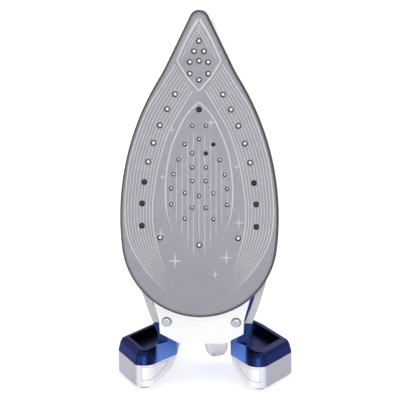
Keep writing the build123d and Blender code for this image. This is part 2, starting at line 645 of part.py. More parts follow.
# Pale housing behind the tank
with BuildPart() as rear_housing:
    add(body_shape.part)
    add(rear_form(HOUSING_WALL, body_bottom, DECK - DECK_WALL), mode=Mode.SUBTRACT)
    split(bisect_by=Plane(origin=at(TANK_REAR - SEAM, 0, 0), z_dir=along), keep=Keep.BOTTOM)
    split(bisect_by=WAIST.offset(SEAM), keep=Keep.TOP)
    with Locations(*spots([(THERMOSTAT_AT, 0, DECK)])):
        Cylinder(SHAFT_RADIUS + RUN_FIT, 3 * DECK_WALL, mode=Mode.SUBTRACT)
rear_housing.part.label = "rear_housing"
export_step(rear_housing.part, "parts/rear_housing.step")

with BuildPart(IRON) as terminal_block:
    with Locations((HEATER_REAR + 14, 0, body_bottom)):
        Box(16, 36, 13, align=(Align.CENTER, Align.CENTER, Align.MIN))
    with Locations(*[(HEATER_REAR + 14, x, body_bottom + 13) for x in (-12, 0, 12)]):
        Cylinder(2.6, 8, mode=Mode.SUBTRACT)
terminal_block.part.label = "terminal_block"
export_step(terminal_block.part, "parts/terminal_block.step")

# Handle loop: an arched bar between two elbows, each on a pillar that widens to the deck
bar_middle = HANDLE_BEND - BAR_HEIGHT / 2
bar_centre = (HANDLE_CENTRE, HANDLE_TOP - HANDLE_BEND)
bar_half = degrees(asin((LOOP_HALF - ELBOW) / (bar_middle - ELBOW)))
elbow_shift = (bar_middle - ELBOW) * sin(radians(bar_half))
elbow_level = bar_centre[1] + (bar_middle - ELBOW) * cos(radians(bar_half))
front_elbow = (HANDLE_CENTRE + elbow_shift, elbow_level)
rear_elbow = (HANDLE_CENTRE - elbow_shift, elbow_level)
elbow_outer = ELBOW + BAR_HEIGHT / 2


def bar_section(plane, middle, low, high, width=BAR_WIDTH):
    """Part of the rounded section of the bar between two offsets from its middle."""
    with BuildSketch(plane) as section:
        with Locations((0, middle)):
            RectangleRounded(BAR_WIDTH, BAR_HEIGHT, BAR_CORNER)
        with Locations((0, middle + (low + high) / 2)):
            Rectangle(width, high - low, mode=Mode.INTERSECT)
    return section.sketch


def bend(centre, middle, start, turn, low, high, width=BAR_WIDTH, mode=Mode.ADD):
    """Stretch of the bar turned about a centre, from a start angle towards the nose."""
    revolve(bar_section(polar(*centre, start), middle, low, high, width), mode=mode,
            axis=Axis(at(centre[0], 0, centre[1]), (1, 0, 0)), revolution_arc=turn)


def pillar(u):
    """Pillar from the end of an elbow down to the deck."""
    with BuildSketch(level(elbow_level)) as upper:
        with Locations((u, 0)):
            RectangleRounded(BAR_HEIGHT, BAR_WIDTH, BAR_CORNER)
    with BuildSketch(level(DECK + SEAM)) as lower:
        with Locations((u, 0)):
            RectangleRounded(*PILLAR_FOOT, BAR_CORNER)
    loft([upper.sketch, lower.sketch], ruled=True)


half_bar = BAR_HEIGHT / 2
elbow_turn = 90 - bar_half
button_spots = [(front_pillar + BUTTON_AT[0], side * BUTTON_AT[1]) for side in (-1, 1)]
pocket_floor = BUTTON_BASE - BUTTON_TRAVEL - 1.0
gland_u, gland_n = rear_pillar + GLAND_AT[0], GLAND_AT[1]
pin_length = GLAND_LENGTH + 2 * (FREE_GAP + PIN_SEAT)

nozzle_plane = Plane(origin=at(front_pillar + NOZZLE_RANGE[0], 0, NOZZLE_LEVEL), x_dir=(1, 0, 0), z_dir=along)
nozzle_length = NOZZLE_RANGE[1] - NOZZLE_RANGE[0]
lens_base = polar(*bar_centre, LENS_ANGLE)
lens_plane = Plane(origin=lens_base.from_local_coords((0, HANDLE_BEND)), x_dir=(1, 0, 0),
                   z_dir=lens_base.y_dir)

with BuildPart() as button_pockets:
    for spot in button_spots:
        with BuildSketch(level(pocket_floor)):
            with Locations(spot):
                RectangleRounded(BUTTON_SIZE[0] + 2 * FREE_GAP, BUTTON_SIZE[1] + 2 * FREE_GAP, 4.0)
        extrude(amount=60)
    with Locations(*spots([(u, x, PUMP_RANGE[0]) for u, x in button_spots])):
        Cylinder(PUMP_RADIUS + SEAM, BUTTON_BASE - PUMP_RANGE[0],
                 align=(Align.CENTER, Align.CENTER, Align.MIN))

with BuildPart() as handle_body:
    bend(bar_centre, bar_middle, -bar_half, 2 * bar_half, -half_bar, COVER_SPLIT)
    bend(front_elbow, ELBOW, bar_half, elbow_turn, -half_bar, COVER_SPLIT)
    bend(rear_elbow, ELBOW, REAR_COVER_END, -bar_half - REAR_COVER_END, -half_bar, COVER_SPLIT)
    bend(rear_elbow, ELBOW, -90, 90 + REAR_COVER_END, -half_bar, half_bar)
    pillar(front_pillar)
    pillar(rear_pillar)
    split(bisect_by=WAIST.offset(SEAM), keep=Keep.TOP)
    bend(bar_centre, bar_middle, -GRIP_HALF_ANGLE, 2 * GRIP_HALF_ANGLE, -half_bar, GRIP_THICK - half_bar,
         GRIP_WIDTH, mode=Mode.SUBTRACT)
    add(button_pockets.part, mode=Mode.SUBTRACT)
    with Locations(*spots([(gland_u, 0, gland_n)])):
        Cylinder(GLAND_RADIUS + FREE_GAP, GLAND_LENGTH + 2 * FREE_GAP, mode=Mode.SUBTRACT)
        Cylinder(GLAND_PIN, pin_length, mode=Mode.SUBTRACT)
    with Locations(*spots([(gland_u + GLAND_RADIUS / 2, 0, gland_n)])):
        Box(40, BAR_WIDTH + 2, GLAND_LENGTH + 2 * FREE_GAP, mode=Mode.SUBTRACT,
            align=(Align.MAX, Align.CENTER, Align.CENTER))
    with Locations(nozzle_plane):
        Cylinder(NOZZLE_RADIUS, 60, mode=Mode.SUBTRACT, align=(Align.CENTER, Align.CENTER, Align.MIN))
handle_body.part.label = "handle_body"
export_step(handle_body.part, "parts/handle_body.step")

with BuildPart() as handle_cover:
    bend(bar_centre, bar_middle, -bar_half, 2 * bar_half, COVER_SPLIT + SEAM / 2, half_bar)
    bend(front_elbow, ELBOW, bar_half, elbow_turn, COVER_SPLIT + SEAM / 2, half_bar)
    bend(rear_elbow, ELBOW, REAR_COVER_END + 0.5, -bar_half - REAR_COVER_END - 0.5, COVER_SPLIT + SEAM / 2,
         half_bar)
    add(button_pockets.part, mode=Mode.SUBTRACT)
    with Locations(nozzle_plane):
        Cylinder(NOZZLE_RADIUS, 60, mode=Mode.SUBTRACT, align=(Align.CENTER, Align.CENTER, Align.MIN))
    with Locations(lens_plane):
        Cylinder(LENS_RADIUS, 8.0, mode=Mode.SUBTRACT)
handle_cover.part.label = "handle_cover"
export_step(handle_cover.part, "parts/handle_cover.step")

with BuildPart() as grip_pad:
    bend(bar_centre, bar_middle, -GRIP_HALF_ANGLE, 2 * GRIP_HALF_ANGLE, -half_bar, GRIP_THICK - half_bar,
         GRIP_WIDTH)
grip_pad.part.label = "grip_pad"
export_step(grip_pad.part, "parts/grip_pad.step")

with BuildPart(lens_plane.offset(0.8)) as pilot_lens:
    Cylinder(LENS_RADIUS, 4.8, align=(Align.CENTER, Align.CENTER, Align.MAX))
    lens_rim = pilot_lens.edges().sort_by(Axis(lens_plane.origin, lens_plane.z_dir))[-1]
    fillet(lens_rim, 0.8)
pilot_lens.part.label = "pilot_lens"
export_step(pilot_lens.part, "parts/pilot_lens.step")

with BuildPart(nozzle_plane) as spray_nozzle:
    Cylinder(NOZZLE_RADIUS, nozzle_length, align=(Align.CENTER, Align.CENTER, Align.MIN))
    nozzle_rim = spray_nozzle.edges().sort_by(Axis(nozzle_plane.origin, nozzle_plane.z_dir))[-1]
    chamfer(nozzle_rim, 1.6)
    with Locations((0, 0, nozzle_length)):
        Cylinder(0.9, 12, mode=Mode.SUBTRACT)
spray_nozzle.part.label = "spray_nozzle"
export_step(spray_nozzle.part, "parts/spray_nozzle.step")


def pump_piece(spot, bottom, top, radius):
    """Round piece of a pump, standing square to the sole."""
    with Locations(*spots([(*spot, bottom)])):
        Cylinder(radius, top - bottom, align=(Align.CENTER, Align.CENTER, Align.MIN))


piston_top = PUMP_RANGE[1] - 2.0
for name, spot in (("spray", button_spots[0]), ("steam", button_spots[1])):
    with BuildPart() as button:
        with BuildSketch(level(BUTTON_BASE)):
            with Locations(spot):
                RectangleRounded(*BUTTON_SIZE, 3.6)
        extrude(amount=60)
        with BuildSketch(SIDE):
            with Locations(front_elbow):
                Circle(elbow_outer + BUTTON_PROUD)
        extrude(amount=BAR_WIDTH, both=True, mode=Mode.INTERSECT)
        fillet(button.faces().filter_by(GeomType.CYLINDER).sort_by(SortBy.AREA)[-1].edges(), 1.2)
    button.part.label = name + "_button"
    export_step(button.part, "parts/" + name + "_button.step")

    with BuildPart() as piston:
        pump_piece(spot, piston_top, BUTTON_BASE, PUMP_BORE / 2)
        pump_piece(spot, piston_top - PISTON_LENGTH, piston_top, PUMP_BORE)
    piston.part.label = name + "_piston"
    export_step(piston.part, "parts/" + name + "_piston.step")

    with BuildPart() as barrel:
        pump_piece(spot, *PUMP_RANGE, PUMP_RADIUS)
        with Locations(*spots([(*spot, PUMP_RANGE[0] + 2.0)])):
            Cylinder(PUMP_BORE + RUN_FIT, 60, mode=Mode.SUBTRACT,
                     align=(Align.CENTER, Align.CENTER, Align.MIN))
    barrel.part.label = name + "_pump"
    export_step(barrel.part, "parts/" + name + "_pump.step")

# Dial and knob on the deck
with BuildPart(IRON) as temperature_dial:
    with BuildSketch(level(DECK + FREE_GAP)):
        with Locations((THERMOSTAT_AT, 0)):
            Circle(DIAL_RADIUS)
            with PolarLocations(DIAL_RADIUS + 1.5, DIAL_FLUTES):
                Circle(3.0, mode=Mode.SUBTRACT)
    extrude(amount=DIAL_HEIGHT)
    with Locations((THERMOSTAT_AT, 0, DECK + FREE_GAP + DIAL_HEIGHT)):
        Cylinder(0.7 * DIAL_RADIUS, 2.4, mode=Mode.SUBTRACT)
    with Locations((THERMOSTAT_AT, 0, DECK + FREE_GAP)):
        Cylinder(SHAFT_RADIUS, DIAL_HEIGHT / 2, mode=Mode.SUBTRACT,
                 align=(Align.CENTER, Align.CENTER, Align.MIN))
temperature_dial.part.label = "temperature_dial"
export_step(temperature_dial.part, "parts/temperature_dial.step")

with BuildPart(IRON) as dial_shaft:
    with Locations((THERMOSTAT_AT, 0, casting_top + THERMOSTAT_HEIGHT + SEAM)):
        Cylinder(SHAFT_RADIUS, DECK + FREE_GAP + DIAL_HEIGHT / 2 - casting_top - THERMOSTAT_HEIGHT - SEAM,
                 align=(Align.CENTER, Align.CENTER, Align.MIN))
dial_shaft.part.label = "dial_shaft"
export_step(dial_shaft.part, "parts/dial_shaft.step")

with BuildPart(IRON) as steam_knob:
    with Locations((knob_at, 0, DECK + FREE_GAP)):
        Cylinder(KNOB_RADIUS, KNOB_HEIGHT / 3, align=(Align.CENTER, Align.CENTER, Align.MIN))
        Box(2 * KNOB_RADIUS - 1, 5, KNOB_HEIGHT, align=(Align.CENTER, Align.CENTER, Align.MIN))
        Cylinder(NEEDLE_RADIUS, KNOB_HEIGHT / 2, mode=Mode.SUBTRACT,
                 align=(Align.CENTER, Align.CENTER, Align.MIN))
steam_knob.part.label = "steam_knob"
export_step(steam_knob.part, "parts/steam_knob.step")

with BuildPart(IRON) as steam_needle:
    with Locations((knob_at, 0, cover_top + 2.0)):
        Cylinder(NEEDLE_RADIUS, DECK + FREE_GAP + KNOB_HEIGHT / 2 - cover_top - 2.0,
                 align=(Align.CENTER, Align.CENTER, Align.MIN))
steam_needle.part.label = "steam_needle"
export_step(steam_needle.part, "parts/steam_needle.step")

# Cord gland: a drum on a pin with a rounded stub that hangs into the channel, bored for a cord
gland_pivot = Vector(*at(gland_u, 0, gland_n))
gland_way = along * -cos(radians(GLAND_LEAN)) + Vector(1, 0, 0) * sin(radians(GLAND_LEAN))
GLAND = Plane(origin=gland_pivot, x_dir=away, z_dir=gland_way)   # local x along the pin, z down the stub

with BuildPart(GLAND) as cord_gland:
    Cylinder(GLAND_RADIUS, GLAND_LENGTH, rotation=(0, 90, 0))
    Cone(GLAND_RADIUS, GLAND_NOSE, GLAND_REACH, align=(Align.CENTER, Align.CENTER, Align.MIN))
    with Locations((0, 0, GLAND_REACH)):
        Sphere(GLAND_NOSE)
    with Locations((0, 0, GLAND_RADIUS)):
        Cylinder(GLAND_BORE, GLAND_REACH + GLAND_NOSE, mode=Mode.SUBTRACT,
                 align=(Align.CENTER, Align.CENTER, Align.MIN))
    Cylinder(GLAND_PIN + RUN_FIT, GLAND_LENGTH, rotation=(0, 90, 0), mode=Mode.SUBTRACT)
cord_gland.part.label = "cord_gland"
export_step(cord_gland.part, "parts/cord_gland.step")

with BuildPart(GLAND) as gland_pin:
    Cylinder(GLAND_PIN, pin_length, rotation=(0, 90, 0))
gland_pin.part.label = "gland_pin"
export_step(gland_pin.part, "parts/gland_pin.step")

# Heel: two splayed feet with face plates, a blue shell over them with a tray on each side, and the channel
foot_corners = (FOOT_FRONT, FOOT_EDGE, FOOT_OUTER, FOOT_BACK, FOOT_TAIL, (CHANNEL_HALF, FOOT_TAIL[1]),
                (CHANNEL_HALF, CHANNEL_FRONT))
arch_middle = CHANNEL_HALF + FOOT_ARCH
arch_level = FOOT_TOP + ARCH_LIFT
arch_drop = arch_level - PAD_HEIGHT
FRONT = Plane(origin=(0, sole_line, 0), x_dir=(1, 0, 0), z_dir=(0, -1, 0))   # local X, Z


def foot_outline(height, side, inset=0.0):
    """Outline of one foot on the table, drawn in by an inset."""
    with BuildSketch(TABLE.offset(height)) as outline:
        Polygon(*[(side * x, depth) for x, depth in foot_corners], align=None)
        for (x, depth), radius in zip(foot_corners, FOOT_ROUNDS):
            fillet(outline.vertices().sort_by_distance((side * x, depth))[0], radius)
        if inset:
            offset(amount=-inset)
    return outline.sketch


def foot_profile(side):
    """Front view of a foot, round at the bottom towards the channel."""
    with BuildSketch(FRONT) as profile:
        with Locations((side * arch_middle, arch_level)):
            Ellipse(FOOT_ARCH, arch_drop)
        with Locations((side * (arch_middle + SOLE_WIDTH / 2), arch_level)):
            Rectangle(SOLE_WIDTH, 2 * arch_drop)
    return profile.sketch


def plate_profile(side, grow):
    """Front view of the face plate in a foot: a D with its round side towards the channel."""
    half, drop = FOOT_ARCH - PLATE_EDGE + grow, arch_drop - PLATE_EDGE + grow
    with BuildSketch(FRONT) as face:
        with Locations((side * arch_middle, arch_level)):
            Ellipse(half, drop)
            Rectangle(2 * (PLATE_END + grow), 2 * drop)
        with Locations((side * (arch_middle + PLATE_END + grow - half), FOOT_TOP - PLATE_DROP + grow - drop)):
            Rectangle(2 * half, 2 * drop, mode=Mode.INTERSECT)
    return face.sketch


def plate_form(side, grow):
    """Face plate in the front of a foot, grown by a clearance."""
    with BuildPart() as form:
        extrude(foot_outline(0, side), amount=FOOT_TOP)
        extrude(foot_outline(0, side, PLATE_THICK), amount=FOOT_TOP, mode=Mode.SUBTRACT)
        extrude(plate_profile(side, grow), amount=FOOT_OUTER[1], both=True, mode=Mode.INTERSECT)
    return form.part


for name, side in (("left_foot", -1), ("right_foot", 1)):
    with BuildPart() as foot:
        extrude(foot_outline(0, side), amount=FOOT_TOP)
        extrude(foot_profile(side), amount=2 * FOOT_TAIL[1], both=True, mode=Mode.INTERSECT)
        add(plate_form(side, SEAM), mode=Mode.SUBTRACT)
    foot.part.label = name
    export_step(foot.part, "parts/" + name + ".step")

    with BuildPart() as plate:
        add(plate_form(side, 0))
    plate.part.label = name + "_plate"
    export_step(plate.part, "parts/" + name + "_plate.step")

pad_spots = [(side * (x + shift_x), depth + shift) for side in (-1, 1)
             for (x, depth), (shift_x, shift) in zip((FOOT_FRONT, FOOT_OUTER, FOOT_BACK), PAD_SHIFTS)]
with BuildPart(TABLE) as foot_pads:
    with Locations(*[(x, depth, 0) for x, depth in pad_spots]):
        Cylinder(PAD_RADIUS, PAD_HEIGHT, align=(Align.CENTER, Align.CENTER, Align.MIN))
    chamfer(foot_pads.edges().group_by(Axis.Z)[0], 0.8)
foot_pads.part.label = "foot_pads"
export_step(foot_pads.part, "parts/foot_pads.step")


def leg_outline(plane):
    """Outline on the table of the two legs that carry the heel, left and right of the channel."""
    grade = (CHANNEL_FRONT - FOOT_FRONT[1]) / (FOOT_FRONT[0] - CHANNEL_HALF)
    front = FOOT_FRONT[1] + (FOOT_FRONT[0] - LEG_HALF) * grade
    with BuildSketch(plane) as legs:
        for side in (-1, 1):
            Polygon((side * CHANNEL_HALF, CHANNEL_FRONT), (side * LEG_HALF, front),
                    (side * LEG_HALF, FOOT_BACK[1]), (side * CHANNEL_HALF, FOOT_BACK[1] + 8), align=None)
    return legs.sketch


with BuildPart() as heel_bridge:
    add(rear_form(0, body_bottom, DECK))
    split(bisect_by=WAIST, keep=Keep.BOTTOM)
    add(rear_form(HOUSING_WALL + SEAM, body_bottom, TONGUE[1]))
    split(bisect_by=Plane(origin=at(TONGUE[0], 0, 0), z_dir=along), keep=Keep.BOTTOM)
    split(bisect_by=TABLE.offset(CHANNEL_TOP), keep=Keep.TOP)

with BuildPart() as heel_legs:
    extrude(leg_outline(TABLE.offset(FOOT_TOP + SEAM)), amount=CHANNEL_TOP + 6 - FOOT_TOP)
    split(bisect_by=WAIST, keep=Keep.BOTTOM)
    with BuildSketch(SIDE):
        Polygon((PANEL_OUTLINE[-1][0] - SEAM, 0), (PANEL_OUTLINE[-1][0] - SEAM, body_bottom),
                (100, body_bottom), (100, 0), align=None)
    extrude(amount=SOLE_WIDTH, both=True, mode=Mode.SUBTRACT)

band_bottom = FOOT_TOP + SEAM
with BuildPart() as heel_shell:
    for side in (-1, 1):
        band = [foot_outline(band_bottom + share * (BAND_TOP - band_bottom), side, inset)
                for share, inset in BAND_SHAPE]
        loft(band, ruled=True)
        extrude(foot_outline(BAND_TOP, side, BAND_SHAPE[-1][1] + TRAY_RIM), amount=-TRAY_DEPTH,
                mode=Mode.SUBTRACT)
    add(heel_legs.part)
    add(heel_bridge.part)
heel_shell.part.label = "heel_shell"
export_step(heel_shell.part, "parts/heel_shell.step")
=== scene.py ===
from math import cos, pi, radians, sin

import bmesh
import bpy
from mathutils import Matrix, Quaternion, Vector
from mathutils.bvhtree import BVHTree


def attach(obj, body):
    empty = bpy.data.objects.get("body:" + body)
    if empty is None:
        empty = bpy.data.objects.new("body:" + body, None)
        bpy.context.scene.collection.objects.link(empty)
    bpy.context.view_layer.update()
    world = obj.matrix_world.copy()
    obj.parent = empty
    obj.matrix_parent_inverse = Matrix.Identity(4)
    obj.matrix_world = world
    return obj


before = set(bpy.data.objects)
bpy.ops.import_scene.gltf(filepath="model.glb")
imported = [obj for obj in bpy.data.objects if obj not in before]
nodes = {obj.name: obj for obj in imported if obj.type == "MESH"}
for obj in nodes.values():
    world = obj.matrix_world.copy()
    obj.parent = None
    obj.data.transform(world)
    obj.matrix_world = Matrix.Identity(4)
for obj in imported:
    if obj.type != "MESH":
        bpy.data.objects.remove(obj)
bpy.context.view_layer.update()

scene = bpy.context.scene

# The iron's own directions, as in the part's source, in millimetres: u from heel to nose along the
# sole, X across, n away from the ironing face.
LEAN = radians(8.0)
SOLE_REAR, SOLE_LENGTH, SOLE_WIDTH = 62.0, 236.8, 122.2
SOLE_THICK = 3.2
SOLE_EDGE = 2.8                  # rounding of the ironing edge
HANDLE_CENTRE, HANDLE_TOP = 139.0, 150.0
NOSE = SOLE_REAR + SOLE_LENGTH
SOLE_LINE = -((SOLE_REAR + SOLE_EDGE) * sin(LEAN) + HANDLE_CENTRE * sin(LEAN) + HANDLE_TOP) / 2


def at(u, x, n):
    """Point of the iron in metres."""
    return Vector((x, SOLE_LINE + u * sin(LEAN) + n * cos(LEAN), u * cos(LEAN) - n * sin(LEAN))) / 1000


def on_sole(d, x, n):
    """Point at a distance behind the nose tip."""
    return at(NOSE - d, x, n)


# Materials
NOISE_RANGE = (0.3, 0.7)         # where most values of a noise lie
RELIEF = 0.0002                  # depth of a relief at full strength, in metres
FLAKE_SCALE = 3800.0
FLAKE_START = 0.72               # share of the lacquer that has no flakes
MIX_FIRST, MIX_SECOND, MIX_RESULT = 6, 7, 2      # colour sockets of a mix node


def graph(name):
    """New material with its tree, its shader and a helper that adds nodes."""
    material = bpy.data.materials.new(name)
    material.use_nodes = True
    tree = material.node_tree
    shader = tree.nodes["Principled BSDF"]

    def node(kind, **inputs):
        made = tree.nodes.new(kind)
        settings(made, **inputs)
        return made

    return material, tree, shader, node


def settings(node, **inputs):
    """Constants on a node's own sockets."""
    for key, value in inputs.items():
        node.inputs[key.replace("_", " ")].default_value = value


def noise(tree, node, where, scale):
    """Noise over the object's own coordinates."""
    made = node("ShaderNodeTexNoise", Scale=scale, Detail=3.0)
    tree.links.new(where.outputs["Object"], made.inputs["Vector"])
    return made.outputs["Fac"]


def spread(tree, node, source, low, high):
    """Noise stretched between two values."""
    made = node("ShaderNodeMapRange", From_Min=NOISE_RANGE[0], From_Max=NOISE_RANGE[1], To_Min=low,
                To_Max=high)
    tree.links.new(source, made.inputs["Value"])
    return made.outputs["Result"]


def relief(tree, node, shader, height, strength):
    """Fine relief over the surface."""
    made = node("ShaderNodeBump", Strength=strength, Distance=RELIEF)
    tree.links.new(height, made.inputs["Height"])
    tree.links.new(made.outputs["Normal"], shader.inputs["Normal"])


def finish(name, colour, rough, metal=0.0, coat=0.0, shade=0.06, cloud=60.0, grain=2500.0, bump=0.02,
           rough_range=0.06, transmission=0.0, ior=1.5, coat_rough=0.05, stretch=None):
    """Moulded, painted or metal surface: cloudy colour, uneven gloss and a fine grain."""
    material, tree, shader, node = graph(name)
    where = node("ShaderNodeTexCoord")
    ramp = node("ShaderNodeValToRGB")
    low = [c * (1 - shade) for c in colour]
    high = [min(1.0, c * (1 + shade)) for c in colour]
    for stop, place, tone in zip(ramp.color_ramp.elements, NOISE_RANGE, (low, high)):
        stop.position = place
        stop.color = (*tone, 1)
    tree.links.new(noise(tree, node, where, cloud), ramp.inputs["Fac"])
    tree.links.new(ramp.outputs["Color"], shader.inputs["Base Color"])
    gloss = spread(tree, node, noise(tree, node, where, cloud * 4), rough - rough_range / 2,
                   rough + rough_range / 2)
    tree.links.new(gloss, shader.inputs["Roughness"])
    fine = node("ShaderNodeTexNoise", Scale=grain, Detail=2.0)
    over = where.outputs["Object"]
    if stretch:
        mapping = node("ShaderNodeMapping", Scale=stretch)
        tree.links.new(over, mapping.inputs["Vector"])
        over = mapping.outputs["Vector"]
    tree.links.new(over, fine.inputs["Vector"])
    relief(tree, node, shader, fine.outputs["Fac"], bump)
    settings(shader, Metallic=metal, Coat_Weight=coat, Coat_Roughness=coat_rough,
             Transmission_Weight=transmission, IOR=ior)
    return material


def flaked(name, colour, fleck, rough, coat, metal=0.35, specular=0.5, bump=0.03, tint=(1, 1, 1)):
    """Metallic lacquer: a deep colour with fine bright flakes under a clear coat."""
    material, tree, shader, node = graph(name)
    where = node("ShaderNodeTexCoord")
    cells = node("ShaderNodeTexVoronoi", Scale=FLAKE_SCALE)
    tree.links.new(where.outputs["Object"], cells.inputs["Vector"])
    pick = node("ShaderNodeSeparateColor")
    tree.links.new(cells.outputs["Color"], pick.inputs["Color"])
    ramp = node("ShaderNodeValToRGB")
    for stop, place, tone in zip(ramp.color_ramp.elements, (FLAKE_START, 1.0), (colour, fleck)):
        stop.position = place
        stop.color = (*tone, 1)
    tree.links.new(pick.outputs["Red"], ramp.inputs["Fac"])
    tree.links.new(ramp.outputs["Color"], shader.inputs["Base Color"])
    gloss = spread(tree, node, noise(tree, node, where, 180.0), rough - 0.03, rough + 0.03)
    tree.links.new(gloss, shader.inputs["Roughness"])
    relief(tree, node, shader, cells.outputs["Distance"], bump)
    settings(shader, Metallic=metal, Specular_IOR_Level=specular, Specular_Tint=(*tint, 1),
             Coat_Weight=coat, Coat_Roughness=0.04)
    return material


def maths(tree, operation, first, second):
    """Two values joined by a math node."""
    made = tree.nodes.new("ShaderNodeMath")
    made.operation = operation
    tree.links.new(first, made.inputs[0])
    tree.links.new(second, made.inputs[1])
    return made.outputs[0]


def share_of(tree, measure, none, full):
    """Share from 0 to 1 between the values of a measure for none and full."""
    made = tree.nodes.new("ShaderNodeMapRange")
    settings(made, From_Min=none, From_Max=full)
    tree.links.new(measure, made.inputs["Value"])
    return made.outputs["Result"]


def lay_over(tree, share, colour):
    """Lays a colour over the base colour, as strongly as the share says."""
    base = tree.nodes["Principled BSDF"].inputs["Base Color"]
    mix = tree.nodes.new("ShaderNodeMix")
    mix.data_type = "RGBA"
    tree.links.new(share, mix.inputs["Factor"])
    tree.links.new(base.links[0].from_socket, mix.inputs[MIX_FIRST])
    mix.inputs[MIX_SECOND].default_value = (*colour, 1)
    tree.links.new(mix.outputs[MIX_RESULT], base)


def paint_light_and_shade(material, colour, *limits):
    """Painted light and shade: a colour laid on the faces within limits, each a measure with its values
    for none and full.
    """
    tree = material.node_tree
    where = tree.nodes.new("ShaderNodeTexCoord")
    face = tree.nodes.new("ShaderNodeNewGeometry")
    place, turn = (tree.nodes.new("ShaderNodeSeparateXYZ") for _ in range(2))
    tree.links.new(where.outputs["Object"], place.inputs["Vector"])
    tree.links.new(face.outputs["Normal"], turn.inputs["Vector"])
    across = place.outputs["X"]
    measures = {
        "aside": maths(tree, "MULTIPLY", across, across),
        "inward": maths(tree, "MULTIPLY", across, turn.outputs["X"]),
        "front": turn.outputs["Y"],
        "up": turn.outputs["Z"],
    }
    share, *further = [share_of(tree, measures[name], none, full) for name, none, full in limits]
    for other in further:
        share = maths(tree, "MULTIPLY", share, other)
    lay_over(tree, share, colour)


def aside(none, full):
    """Limit by the distance from the middle of the iron, in metres."""
    return "aside", none**2, full**2


def paint_rim_shade(material, colour, none=0.985, full=0.80):
    """Painted shade on the rounded rim of the sole, where the surface turns away from the ironing face.
    """
    tree = material.node_tree
    face = tree.nodes.new("ShaderNodeNewGeometry")
    turn = tree.nodes.new("ShaderNodeVectorMath")
    turn.operation = "DOT_PRODUCT"
    turn.inputs[1].default_value = (0, -cos(LEAN), sin(LEAN))
    tree.links.new(face.outputs["Normal"], turn.inputs[0])
    lay_over(tree, share_of(tree, turn.outputs["Value"], none, full), colour)


# Sole and metal pieces
enamel = flaked("sole_enamel", (0.186, 0.182, 0.212), (0.222, 0.218, 0.248), 0.45, 0.05, bump=0.02)
# painted shade on the sole's rounded rim
paint_rim_shade(enamel, (0.045, 0.044, 0.052))
print_ink = finish("sole_print", (0.475, 0.45, 0.475), 0.45, metal=0.1, shade=0.05, cloud=90)
# bright cups in the steam holes: a painted highlight
hole_painted_highlight = finish("hole_painted_highlight", (0.90, 0.90, 0.91), 0.4, metal=0.3, shade=0.03, cloud=200)
# dark rims, walls and depths of the steam holes: painted shade
hole_rim_painted_shade = finish("hole_rim_painted_shade", (0.045, 0.045, 0.052), 0.35, metal=0.5, shade=0.1, cloud=200)
hole_painted_shade = finish("hole_painted_shade", (0.02, 0.02, 0.024), 0.45, shade=0.3, cloud=300)
screw_steel = finish("screw_steel", (0.42, 0.44, 0.49), 0.2, metal=1.0, shade=0.05, bump=0.03)
steel = finish("steel", (0.62, 0.63, 0.66), 0.28, metal=1.0, shade=0.05, bump=0.05, stretch=(1, 12, 12))
sheet_steel = finish("sheet_steel", (0.55, 0.56, 0.58), 0.38, metal=1.0, bump=0.05, stretch=(12, 1, 1))
casting = finish("cast_aluminium", (0.62, 0.62, 0.63), 0.5, metal=1.0, shade=0.1, grain=900, bump=0.25)

# Plain plastics and rubbers
seal = finish("silicone", (0.5, 0.10, 0.06), 0.6, shade=0.1)
white = finish("white_plastic", (0.945, 0.95, 0.96), 0.24, coat=0.3, shade=0.015, bump=0.015)
plate = finish("foot_plate", (0.97, 0.97, 0.985), 0.22, coat=0.4, shade=0.02, bump=0.015)
pearl = finish("pearl_plastic", (0.335, 0.335, 0.36), 0.38, metal=0.2, coat=0.1, shade=0.035, cloud=35,
               bump=0.01, coat_rough=0.2)
grey = finish("grey_plastic", (0.56, 0.55, 0.62), 0.4, shade=0.04, grain=3200, bump=0.08)
soft_grip = finish("soft_grip", (0.03, 0.035, 0.06), 0.7, shade=0.12, grain=1600, bump=0.3)
dark = finish("dark_plastic", (0.02, 0.02, 0.022), 0.5, shade=0.15, bump=0.08)
mark_ink = finish("mark_ink", (0.02, 0.03, 0.09), 0.5, shade=0.15)
# painted shadow line round the heel screws
screw_ring_painted_shadow = finish("screw_ring_painted_shadow", (0.16, 0.17, 0.20), 0.5, shade=0.1)

# Clear and frosted plastics
tank = finish("tank_plastic", (0.18, 0.34, 0.78), 0.12, shade=0.05, transmission=0.85, ior=1.45,
              bump=0.01)
amber = finish("amber_lens", (0.95, 0.35, 0.06), 0.1, shade=0.05, transmission=0.7, ior=1.5)
frosted = finish("frosted_plastic", (0.97, 0.97, 0.98), 0.6, shade=0.02, transmission=0.68, ior=1.15)
settings(frosted.node_tree.nodes["Principled BSDF"], Subsurface_Weight=1.0,
         Subsurface_Radius=(1.0, 1.0, 1.0), Subsurface_Scale=0.02)

# Blue lacquer. On the heel, painted light makes it pale in the channel between the feet, and painted
# shade makes it dark on the floors and the inner walls of the trays
BLUE_TINT = (0.10, 0.30, 0.85)
TRAY_SHADE = (0.005, 0.007, 0.014)
blue = flaked("blue_lacquer", (0.009, 0.024, 0.130), (0.013, 0.034, 0.165), 0.26, 0.03, metal=0.5,
              specular=0.06, bump=0.003, tint=BLUE_TINT)
heel_blue = flaked("heel_lacquer", (0.007, 0.018, 0.090), (0.016, 0.037, 0.15), 0.26, 0.03, metal=0.5,
                   specular=0.06, bump=0.004, tint=BLUE_TINT)
# painted light: a pale blue on faces beside the channel that turn to the front
paint_light_and_shade(heel_blue, (0.16, 0.31, 0.80), aside(0.037, 0.033), ("front", -0.85, -0.6))
# painted shade: dark on faces that turn upwards, and on the trays' inner walls
paint_light_and_shade(heel_blue, TRAY_SHADE, ("up", 0.35, 0.8))
paint_light_and_shade(heel_blue, TRAY_SHADE, ("inward", -0.008, -0.020), aside(0.037, 0.041))

